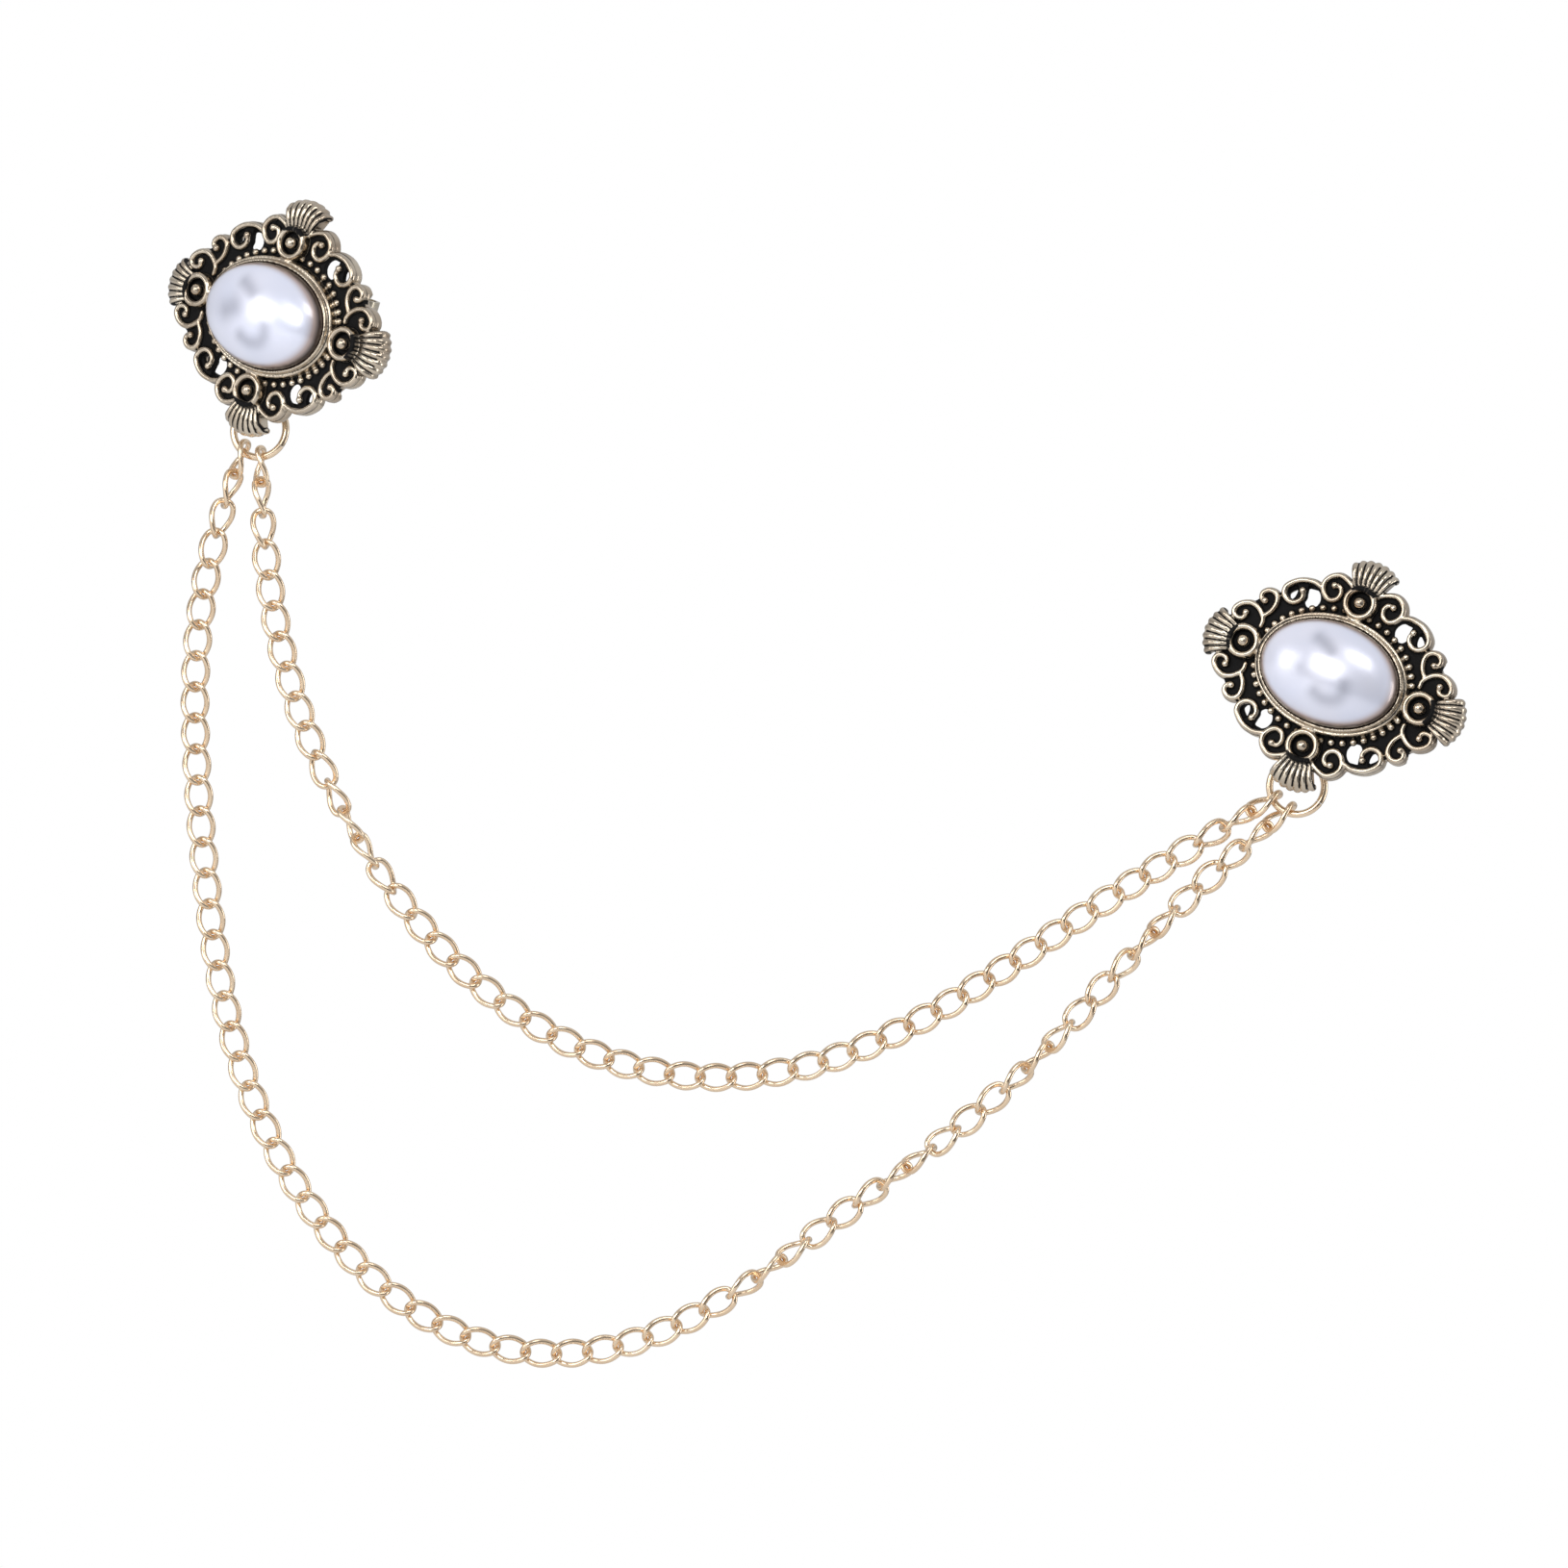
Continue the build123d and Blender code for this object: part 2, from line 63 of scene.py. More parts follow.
# x, z and the way that the fan opens
BOSSES = [(BOSS_X, 0, 0), (0, BOSS_Z, 90), (-BOSS_X, 0, 180), (0, -BOSS_Z, 270)]
BOSS_R = 1.7
BOSS_H = 1.3
FAN_HUB = 1.4
FAN_RIBS = 7
FAN_STEP = 7.8
FAN_IN, FAN_OUT = 2.9, 5.38
FAN_EDGE = (25, 18, 12, 6, 0, -6, -12, -18, -25)     # degrees off the fan's middle
GRAIN_COUNT = 9         # in each quarter
GRAIN_R = 0.36
GRAIN_OVAL = (7.95, 6.3)
GRAIN_FIRST, GRAIN_STEP = 16.5, 8.06
RING_WIRE = 0.7         # thickness of the jump ring's wire
STAPLE_WIRE = 0.7
STAPLE_GAP = 0.06       # between ring and staple
STAPLE_BEND = 1.15
STAPLE_ROOT = -0.3      # how deep the staple's legs start in the plate
VOXEL = 0.095           # the casting's parts are melted together at this grain
KEPT_FACES = 0.72       # share of the melted mesh's faces that stay
OVAL_POINTS = 160
PEARL_SIDES = 128
PEARL_RINGS = 30
# painted reflections: greyer lines in the pearl's colour that stand in for dark reflections: points, half
# width and depth
PAINTED_REFLECTIONS = [([(-2.4, -0.5), (-1.6, 0.1)], 0.8, 0.7),
          ([(-1.6, 2.7), (-0.8, 2.4), (0.1, 1.9)], 0.5, 0.75),
          ([(2.5, -0.6), (2.6, -1.5), (2.1, -2.3), (1.0, -2.6), (0.0, -2.3)], 0.5, 0.75)]

SCROLL_TOP = [(1.2, 8.45), (2.0, 8.95), (2.95, 9.2), (3.75, 8.8), (4.15, 8.1), (4.05, 7.4),
              (3.6, 6.85), (3.05, 6.65), (2.45, 6.95), (2.25, 7.6), (2.5, 8.1), (3.0, 8.2)]
SCROLL_HOOK = [(4.3, 7.5), (5.0, 7.7), (5.7, 7.65), (6.4, 7.45), (7.05, 7.0), (7.5, 6.45),
               (7.55, 5.9), (7.25, 5.4), (6.7, 5.15), (6.15, 5.25), (5.75, 5.65), (5.65, 6.1),
               (5.8, 6.55)]
SCROLL_SIDE = [(8.5, 2.95), (8.0, 3.65), (7.8, 4.4), (7.9, 5.05), (8.35, 5.45), (8.95, 5.45),
               (9.4, 5.05), (9.4, 4.55), (9.1, 4.25)]
SCROLL_END = [(8.4, 1.9), (8.4, 2.5), (8.7, 3.0), (9.3, 3.5), (10.1, 3.7), (10.9, 3.4),
              (11.4, 2.8), (11.35, 2.2), (10.9, 1.95), (10.4, 2.05), (10.15, 2.45)]
# each scroll with the first and last of its points that stand on the outer wall
SCROLLS = [(SCROLL_TOP, 0, 5), (SCROLL_HOOK, 0, 7), (SCROLL_SIDE, 2, 6), (SCROLL_END, 3, 8)]
FLOOR_T = 0.6           # the pierced floor is thinner than the outer wall
RIM_BACK = -0.3         # how far back the outer wall comes
PER = 8                 # spline steps from point to point
CURL_BALLS = [(3.1, 8.1), (5.85, 6.55), (8.95, 4.35), (10.25, 2.65)]
OPENING_WIDE = [(3.95, 6.2), (4.3, 6.95), (5.1, 7.3), (5.5, 7.25), (5.4, 6.5), (5.45, 5.75),
                (5.0, 5.25), (4.25, 5.45)]
OPENING_SLIM = [(6.7, 6.95), (7.15, 6.65), (7.3, 6.1), (7.05, 5.5), (6.65, 5.4), (6.4, 5.85), (6.4, 6.5)]
PLATE_EDGE = [(0, 9.2), (2.2, 9.2), (3.7, 8.4), (4.4, 7.6), (6.3, 7.4), (7.3, 6.5), (7.8, 5.7),
              (8.6, 5.2), (9.5, 4.5), (10.2, 3.7), (11.2, 3.0), (11.6, 2.2), (11.9, 0)]


# ---------------------------------------------------------------- shapes, in millimetres

def spline(points, per=8, closed=False):
    """Points on a smooth curve through the given ones."""
    p = np.array(points, float)
    n = len(p)
    out = []
    for i in range(n if closed else n - 1):
        if closed:
            a, b, c, d = p[i - 1], p[i], p[(i + 1) % n], p[(i + 2) % n]
        else:
            a, b, c, d = p[max(i - 1, 0)], p[i], p[i + 1], p[min(i + 2, n - 1)]
        for k in range(per):
            t = k / per
            out.append(0.5 * (2 * b + (c - a) * t + (2 * a - 5 * b + 4 * c - d) * t * t
                              + (3 * b - a - 3 * c + d) * t ** 3))
    if not closed:
        out.append(p[-1])
    return np.array(out)


class Shape:
    """Collects closed solids as one list of vertices and faces."""

    def __init__(self):
        self.verts = []
        self.faces = []

    def add(self, verts, faces):
        base = len(self.verts)
        self.verts.extend([tuple(map(float, v)) for v in verts])
        self.faces.extend([tuple(base + i for i in f) for f in faces])

    def loft(self, rings, closed=False):
        """Rings of equal size, joined in order and capped at both ends."""
        n = len(rings[0])
        verts = [v for ring in rings for v in ring]
        count = len(rings)
        faces = []
        for i in range(count if closed else count - 1):
            a, b = i * n, ((i + 1) % count) * n
            for k in range(n):
                m = (k + 1) % n
                faces.append((a + k, a + m, b + m, b + k))
        if not closed:
            faces.append(tuple(range(n - 1, -1, -1)))
            faces.append(tuple((count - 1) * n + k for k in range(n)))
        self.add(verts, faces)

    def ball(self, centre, radius, segs=14):
        c = np.array(centre, float)
        rings = []
        for i in range(1, segs // 2):
            a = math.pi * i / (segs // 2)
            ring = []
            for k in range(segs):
                t = 2 * math.pi * k / segs
                ring.append(c + radius * np.array([math.sin(a) * math.cos(t), -math.cos(a),
                                                   math.sin(a) * math.sin(t)]))
            rings.append(ring)
        self.loft(rings)

    def lathe(self, x, z, profile, segs=64):
        """A closed profile of (radius, y) turned about the line through (x, z) along y."""
        rings = []
        for k in range(segs):
            t = 2 * math.pi * k / segs
            rings.append([(x + r * math.cos(t), y, z + r * math.sin(t)) for r, y in profile])
        self.loft(rings, closed=True)

    def tube(self, points, radii, segs=14):
        """A round wire along 3-D points, its ends rounded."""
        p = np.array(points, float)
        r = np.array(radii, float) if np.ndim(radii) else np.full(len(p), float(radii))
        way = np.gradient(p, axis=0)
        way /= np.linalg.norm(way, axis=1)[:, None]
        side = np.cross(way[0], (0.31, 0.17, 0.93))
        side /= np.linalg.norm(side)
        rings = []

        def ring(centre, s, w, radius):
            u = np.cross(w, s)
            return [centre + radius * (s * math.cos(2 * math.pi * k / segs)
                                       + u * math.sin(2 * math.pi * k / segs)) for k in range(segs)]

        for i in range(len(p)):
            side = side - way[i] * side.dot(way[i])
            side /= np.linalg.norm(side)
            if i == 0:
                for a in (80, 55, 30):
                    a = math.radians(a)
                    rings.append(ring(p[0] - way[0] * r[0] * math.sin(a), side, way[0], r[0] * math.cos(a)))
            rings.append(ring(p[i], side, way[i], r[i]))
        for a in (30, 55, 80):
            a = math.radians(a)
            rings.append(ring(p[-1] + way[-1] * r[-1] * math.sin(a), side, way[-1], r[-1] * math.cos(a)))
        self.loft(rings)

    def wall(self, points, half, top, base=0.0):
        """A rail that stands on y = base, along flat points (x, z), with a round top at y = top."""
        p = np.array(points, float)
        h = np.array(half, float) if np.ndim(half) else np.full(len(p), float(half))
        way = np.gradient(p, axis=0)
        way /= np.linalg.norm(way, axis=1)[:, None]
        side = np.stack([way[:, 1], -way[:, 0]], axis=1)
        rings = []
        arc = [math.radians(a) for a in (0, 25, 50, 75, 105, 130, 155, 180)]
        for i in range(len(p)):
            section = [(h[i], base)]
            section += [(h[i] * math.cos(a), top + h[i] - h[i] * math.sin(a)) for a in arc]
            section += [(-h[i], base)]
            rings.append([(p[i][0] + side[i][0] * s, y, p[i][1] + side[i][1] * s) for s, y in section])
        first, last = list(rings[0]), list(rings[-1])
        nose = [(p[0][0] - way[0][0] * h[0] * 0.8 + (v[0] - p[0][0]) * 0.4, v[1],
                 p[0][1] - way[0][1] * h[0] * 0.8 + (v[2] - p[0][1]) * 0.4) for v in first]
        tail = [(p[-1][0] + way[-1][0] * h[-1] * 0.8 + (v[0] - p[-1][0]) * 0.4, v[1],
                 p[-1][1] + way[-1][1] * h[-1] * 0.8 + (v[2] - p[-1][1]) * 0.4) for v in last]
        self.loft([nose] + rings + [tail])

    def slab(self, outline, holes, y0, y1):
        """A flat sheet with holes, between y0 and y1. Outlines are (x, z)."""
        loops = [list(outline)] + [list(h) for h in holes]
        flat = [v for loop in loops for v in loop]
        tris = tessellate_polygon([[Vector((v[0], v[1], 0)) for v in loop] for loop in loops])
        n = len(flat)
        verts = [(v[0], y0, v[1]) for v in flat] + [(v[0], y1, v[1]) for v in flat]
        faces = []
        for t in tris:
            faces.append(tuple(t))
            faces.append((t[2] + n, t[1] + n, t[0] + n))
        start = 0
        for loop in loops:
            m = len(loop)
            for k in range(m):
                a, b = start + k, start + (k + 1) % m
                faces.append((a, b, b + n, a + n))
            start += m
        self.add(verts, faces)

    def mesh(self, name):
        made = bpy.data.meshes.new(name)
        made.from_pydata(self.verts, [], self.faces)
        made.validate()
        made.update()
        return made


def mirrored(points, sx, sz):
    out = [(x * sx, z * sz) for x, z in points]
    return out if sx * sz > 0 else out[::-1]


def swelled(count, ends, middle):
    """Half widths that grow from the ends to the middle of a rail."""
    t = np.linspace(0, 1, count)
    return ends + (middle - ends) * np.sin(np.pi * np.clip(t, 0, 1)) ** 0.7


def add_scrolls(shape):
    for sx, sz in QUARTERS:
        for points, first, last in SCROLLS:
            line = spline([(x * sx, z * sz) for x, z in points], PER)
            # the ridge, the wider foot that it stands on, and the outer wall below it
            shape.wall(line, swelled(len(line), 0.2, 0.27), FRONT - 0.5, FRONT + FLOOR_T)
            shape.wall(line, 0.34, FRONT + 0.02, FRONT + FLOOR_T)
            shape.wall(line[first * PER:last * PER + 1], 0.36, FRONT + 0.02, RIM_BACK)
        for x, z in CURL_BALLS:
            shape.ball((x * sx, FRONT - 0.28, z * sz), 0.36)


def add_plate(shape):
    half = PLATE_EDGE + [(x, -z) for x, z in PLATE_EDGE[::-1]][1:]
    outline = half + [(-x, z) for x, z in half[::-1]][1:-1]
    holes = []
    for sx, sz in QUARTERS:
        for points in (OPENING_WIDE, OPENING_SLIM):
            holes.append(spline(mirrored(points, sx, sz), 5, closed=True).tolist())
    # the thin pierced floor, the full thickness behind the pearl, and a step round that
    shape.slab(outline, holes, FRONT + FLOOR_T, FRONT)
    shape.slab(oval(0.15), [], 0.0, FRONT)
    shape.slab(oval(0.72), [], FRONT + FLOOR_T + 0.1, FRONT)
    # the outer wall, a little inside the outline
    rim = np.array(outline + outline[:2]) * 0.975
    shape.wall(rim, 0.25, FRONT + 0.26, RIM_BACK)


def oval(grow):
    """Points of the pearl's outline moved outwards by grow."""
    out = []
    for k in range(OVAL_POINTS):
        t = 2 * math.pi * k / OVAL_POINTS
        x, z = PEARL_X / 2 * math.cos(t), PEARL_Z / 2 * math.sin(t)
        nx, nz = math.cos(t) / (PEARL_X / 2), math.sin(t) / (PEARL_Z / 2)
        size = math.hypot(nx, nz)
        out.append((x + grow * nx / size, z + grow * nz / size))
    return out


def add_bezel(shape):
    # distance out from the pearl and height in front of the plate: lip, thin groove, lower rim
    profile = [(0.03, 0.25), (0.03, 1.42), (0.08, 1.52), (0.17, 1.56), (0.28, 1.5), (0.33, 1.38),
               (0.37, 1.12), (0.43, 1.06), (0.48, 1.14), (0.56, 1.2), (0.66, 1.14), (0.71, 1.0),
               (0.72, -0.3), (0.03, -0.3)]
    loops = {d: oval(d) for d, _ in profile}
    rings = []
    for k in range(OVAL_POINTS):
        rings.append([(loops[d][k][0], FRONT - h, loops[d][k][1]) for d, h in profile])
    shape.loft(rings, closed=True)


def add_bosses(shape):
    # radius and depth of the raised ring, with a bead in its middle
    rim = [(0.0, FRONT + 0.5), (0.0, FRONT - 0.38), (1.0, FRONT - 0.38), (1.06, FRONT - 0.5),
           (1.09, FRONT - 1.05), (1.18, FRONT - 1.24), (1.4, FRONT - 1.34), (1.58, FRONT - 1.24),
           (1.68, FRONT - 1.0), (BOSS_R, FRONT - 0.2), (BOSS_R, FRONT + 0.5)]
    for x, z, _ in BOSSES:
        shape.lathe(x, z, [(max(r, 0.001), y) for r, y in rim])
        shape.lathe(x, z, [(0.001, FRONT), (0.5, FRONT), (0.5, FRONT - 0.9), (0.001, FRONT - 0.9)], 24)
        shape.ball((x, FRONT - BOSS_H + 0.36, z), 0.6, 20)


def add_fans(shape):
    for x, z, way in BOSSES:
        hub = (x - FAN_HUB * math.cos(math.radians(way)), z - FAN_HUB * math.sin(math.radians(way)))

        def spot(reach, turn):
            a = math.radians(way + turn)
            return hub[0] + reach * math.cos(a), hub[1] + reach * math.sin(a)

        # a plate under the ribs, with a rounded outer edge
        root = [spot(FAN_IN - 0.3, t) for t in (-24, 0, 24)]
        edge = [spot(FAN_OUT + 0.2 - 0.0006 * t * t, t) for t in FAN_EDGE]
        shape.slab(root + edge, [], 0.0, FRONT)
        for i in range(FAN_RIBS):
            off = i - (FAN_RIBS - 1) / 2
            out = FAN_OUT - 0.035 * off * off
            arch = [(FAN_IN - 0.35, 0.28), (3.2, 0.42), (3.9, 0.5), (4.6, 0.4), (out - 0.25, 0.12),
                    (out, -0.22), (out + 0.04, -0.6), (out, -0.93)]
            line = []
            for reach, high in spline(arch, 4):
                px, pz = spot(reach, off * FAN_STEP)
                line.append((px, FRONT - high, pz))
            radii = np.interp(np.linspace(0, 1, len(line)), (0, 0.3, 0.65, 0.85, 1),
                              (0.14, 0.25, 0.34, 0.37, 0.38))
            shape.tube(line, radii)
            # and a thinner one behind it, down to the plate
            shape.tube([(px, py + 0.3, pz) for px, py, pz in line], radii * 0.8)


def add_grains(shape):
    for sx, sz in QUARTERS:
        for i in range(GRAIN_COUNT):
            a = math.radians(GRAIN_FIRST + i * GRAIN_STEP)
            x, z = sx * GRAIN_OVAL[0] * math.cos(a), sz * GRAIN_OVAL[1] * math.sin(a)
            shape.ball((x, FRONT - 0.14, z), GRAIN_R, 12)


def add_staple(shape):
    low = -PIVOT_Z - RING_WIRE / 2 - STAPLE_GAP - STAPLE_WIRE / 2
    bend = STAPLE_BEND
    deep = PIVOT_Y + 0.3
    line = [(0, STAPLE_ROOT, low), (0, deep * 0.5, low)]
    for k in range(13):
        a = math.radians(-90 + 15 * k)
        line.append((0, deep + bend * math.cos(a), low + bend + bend * math.sin(a)))
    line += [(0, deep * 0.5, low + 2 * bend), (0, STAPLE_ROOT, low + 2 * bend)]
    shape.tube(line, STAPLE_WIRE / 2)


def near_curve(flat, curve):
    """Distance from each flat point (x, z) to the nearest point of a curve."""
    best = np.full(len(flat), 1e9)
    for p in curve:
        best = np.minimum(best, np.hypot(flat[:, 0] - p[0], flat[:, 1] - p[1]))
    return best


def ramp(value, low, high):
    t = np.clip((value - low) / (high - low), 0, 1)
    return t * t * (3 - 2 * t)


def blackening(co, normal):
    """0 on polished metal and 1 where the black finish stays, for each vertex."""
    x, y, z = co[:, 0], co[:, 1], co[:, 2]
    high = FRONT - y            # in front of the floor
    facing = -normal[:, 1]
    # the floor, and the inner side walls of the ridges up to where they are rubbed bright
    floor = (1 - ramp(high, 0.1, 0.34)) * ramp(high, -0.25, -0.08) * ramp(facing, -0.2, 0.5)
    flat = np.stack([np.abs(x), np.abs(z)], axis=1)
    away = (normal[:, 0] * x + normal[:, 2] * z) / np.maximum(np.hypot(x, z), 0.1)
    edge = np.full(len(x), 1e9)
    for points, first, last in SCROLLS:
        edge = np.minimum(edge, near_curve(flat, spline(points[first:last + 1], 3)))
    outer = (1 - ramp(edge, 0.45, 0.6)) * ramp(away, -0.1, 0.2)
    sides = (1 - ramp(high, 0.12, 0.36)) * ramp(high, -0.7, -0.5) * (1 - outer)
    black = np.maximum(floor, sides * (np.hypot(x / 11.4, z / 8.9) < 1))
    # round each boss's bead, and between the fan's ribs
    for bx, bz, way in BOSSES:
        r = np.hypot(x - bx, z - bz)
        groove = (1 - ramp(r, 1.06, 1.16)) * ramp(r, 0.46, 0.6)
        groove *= (1 - ramp(high, 0.85, 1.2)) * ramp(high, -0.3, -0.1)
        black = np.maximum(black, groove)
        a = math.radians(way)
        hx, hz = bx - FAN_HUB * math.cos(a), bz - FAN_HUB * math.sin(a)
        along = (x - hx) * math.cos(a) + (z - hz) * math.sin(a)
        across = -(x - hx) * math.sin(a) + (z - hz) * math.cos(a)
        reach = np.hypot(along, across)
        turn = np.degrees(np.arctan2(across, along))
        step = turn / FAN_STEP
        last_rib = FAN_RIBS // 2
        off = np.abs(step - np.round(np.clip(step, -last_rib, last_rib)))
        inside = (reach > 2.5) & (reach < 6.1) & (np.abs(step) < FAN_RIBS / 2) & (y < -0.15)
        gap = ramp(off, 0.27 + 0.03 * ramp(reach, 3.2, 4.6), 0.36 + 0.05 * ramp(reach, 3.2, 4.6))
        gap *= 1 - ramp(reach, 5.25, 5.5)
        root = 1 - ramp(reach, 2.9, 3.3)
        black = np.where(inside, np.maximum(gap, root * 0.8), black)
    # the thin groove in the bezel
    size = np.hypot(x / PEARL_X, z / PEARL_Z) * 2
    groove = 1 - ramp(np.abs((size - 1) * 6.0 - 0.43), 0.03, 0.13)
    groove *= ramp(high, 0.9, 1.0) * (size > 1.03)
    black = np.maximum(black, 0.85 * groove * (1 - ramp(high, 1.15, 1.3)))
    # the edges of the openings
    side = np.minimum(near_curve(flat, spline(OPENING_WIDE, 3, True)),
                      near_curve(flat, spline(OPENING_SLIM, 3, True)))
    black = np.maximum(black, 0.8 * (1 - ramp(side, 0.1, 0.3)) * (1 - ramp(high, -0.1, 0.3)) * (y < -0.1))
    return np.clip(black, 0, 1)


def paint(mesh, name, values):
    """One number for each vertex, for a material to read by name."""
    layer = mesh.attributes.new(name, "FLOAT", "POINT")
    layer.data.foreach_set("value", values.astype(np.float32))


def smooth(mesh):
    mesh.polygons.foreach_set("use_smooth", np.ones(len(mesh.polygons), bool))


def casting_mesh():
    shape = Shape()
    add_plate(shape)
    add_scrolls(shape)
    add_bezel(shape)
    add_bosses(shape)
    add_fans(shape)
    add_grains(shape)
    add_staple(shape)
    # the overlapping solids melt into one closed mesh
    rough = bpy.data.objects.new("casting_rough", shape.mesh("casting_rough"))
    bpy.context.scene.collection.objects.link(rough)
    melt = rough.modifiers.new("melt", "REMESH")
    melt.mode = "VOXEL"
    melt.voxel_size = VOXEL
    melt.use_smooth_shade = True
    thin = rough.modifiers.new("thin", "DECIMATE")
    thin.ratio = KEPT_FACES
    graph = bpy.context.evaluated_depsgraph_get()
    made = bpy.data.meshes.new_from_object(rough.evaluated_get(graph))
    bpy.data.objects.remove(rough)
    count = len(made.vertices)
    co = np.zeros(count * 3, np.float32)
    made.vertices.foreach_get("co", co)
    normal = np.zeros(count * 3, np.float32)
    made.vertices.foreach_get("normal", normal)
    black = blackening(co.reshape(-1, 3).astype(float), normal.reshape(-1, 3))
    paint(made, "black", black)
    smooth(made)
    made.name = "casting"
    return made


def pearl_mesh():
    base = FRONT - GLUE_T
    rise = PEARL_H - PEARL_FOOT
    rings = []
    segs = PEARL_SIDES
    profile = [(0.98, 0.0), (1.0, 0.04)]
    profile += [(1.0, PEARL_FOOT * t) for t in (0.3, 0.7, 1.0)]
    for k in range(1, PEARL_RINGS):
        a = math.pi / 2 * k / PEARL_RINGS
        profile.append((math.cos(a), PEARL_FOOT + rise * math.sin(a)))
    for size, high in profile:
        ring = []
        for k in range(segs):
            t = 2 * math.pi * k / segs
            ring.append((PEARL_X / 2 * size * math.cos(t), base - high, PEARL_Z / 2 * size * math.sin(t)))
        rings.append(ring)
    shape = Shape()
    shape.loft(rings)
    centre = len(shape.verts)
    shape.faces.pop()
    shape.verts.append((0, base - PEARL_H, 0))
    last = centre - segs
    for k in range(segs):
        shape.faces.append((last + k, last + (k + 1) % segs, centre))
    made = shape.mesh("pearl")
    high = np.array([base - v[1] for v in shape.verts])
    # edge: painted reflection of the gold bezel and painted shade, rising towards the pearl's foot
    paint(made, "edge", 1 - ramp(high, PEARL_FOOT + 0.35, PEARL_FOOT + 1.75))
    # painted reflection: grey smudges fixed in the pearl's colour
    painted_reflection = np.zeros(len(shape.verts))
    co = np.array(shape.verts)
    for points, size, depth in PAINTED_REFLECTIONS:
        away = near_curve(co[:, (0, 2)], spline(points, 6))
        painted_reflection = np.maximum(painted_reflection, depth * np.exp(-(away / size) ** 2 / 2))
    paint(made, "painted_reflection", painted_reflection)
    smooth(made)
    return made


# ---------------------------------------------------------------- placing

def way(setting, x, y, z):
    """A local direction turned by roll about the front's normal, then yaw, then lean."""
    yaw, roll, lean = [math.radians(v) for v in setting]
    x1 = x * math.cos(roll) + z * math.sin(roll)
    z1 = z * math.cos(roll) - x * math.sin(roll)
    x2 = x1 * math.cos(yaw) + y * math.sin(yaw)
    y2 = y * math.cos(yaw) - x1 * math.sin(yaw)
    return Vector((x2, y2 * math.cos(lean) - z1 * math.sin(lean),
                   y2 * math.sin(lean) + z1 * math.cos(lean)))


left_origin = -way(LEFT_SET, 0, POST_BARE, POST_Z)
left_pivot = left_origin + way(LEFT_SET, 0, PIVOT_Y, -PIVOT_Z)
right_pivot = left_pivot + Vector((SPAN, 0, RISE))
right_origin = right_pivot - way(RIGHT_SET, 0, PIVOT_Y, -PIVOT_Z)


def to_frame(setting, origin):
    turn = Matrix((way(setting, 1, 0, 0), way(setting, 0, 1, 0), way(setting, 0, 0, 1))).transposed()
    return Matrix.Scale(MM, 4) @ Matrix.Translation(origin) @ turn.to_4x4()


def dress(node, material):
    node.data.materials.clear()
    node.data.materials.append(material)


def place(mesh, name, setting, origin, material):
    own = mesh.copy()
    own.transform(to_frame(setting, origin))
    made = bpy.data.objects.new(name, own)
    own.name = name
    dress(made, material)
    bpy.context.scene.collection.objects.link(made)
    return made


# ---------------------------------------------------------------- materials

GOLD_BRIGHT, GOLD_DULL = (0.76, 0.67, 0.54, 1), (0.44, 0.35, 0.26, 1)
# the antique black, which also serves as painted shade in recesses
BLACK_FINISH_AND_SHADE = (0.006, 0.0055, 0.0055, 1)
ROSE_BRIGHT, ROSE_DULL = (0.95, 0.76, 0.55, 1), (0.84, 0.63, 0.43, 1)
# the third nacre colour is the grey of the painted reflections
NACRE_COOL, NACRE_PALE, PAINTED_REFLECTION_GREY = (0.80, 0.83, 0.98, 1), (0.88, 0.88, 0.99, 1), (0.33, 0.34, 0.42, 1)
# painted reflection of the gold bezel and painted shade round the pearl's foot
RIM_PAINTED_REFLECTION, RIM_PAINTED_SHADE = (0.50, 0.39, 0.36, 1), (0.05, 0.03, 0.025, 1)
STEEL_BRIGHT, STEEL_DULL = (0.80, 0.74, 0.62, 1), (0.70, 0.63, 0.50, 1)
GLUE_PALE, GLUE_DARK = (0.72, 0.70, 0.63, 1), (0.62, 0.58, 0.50, 1)


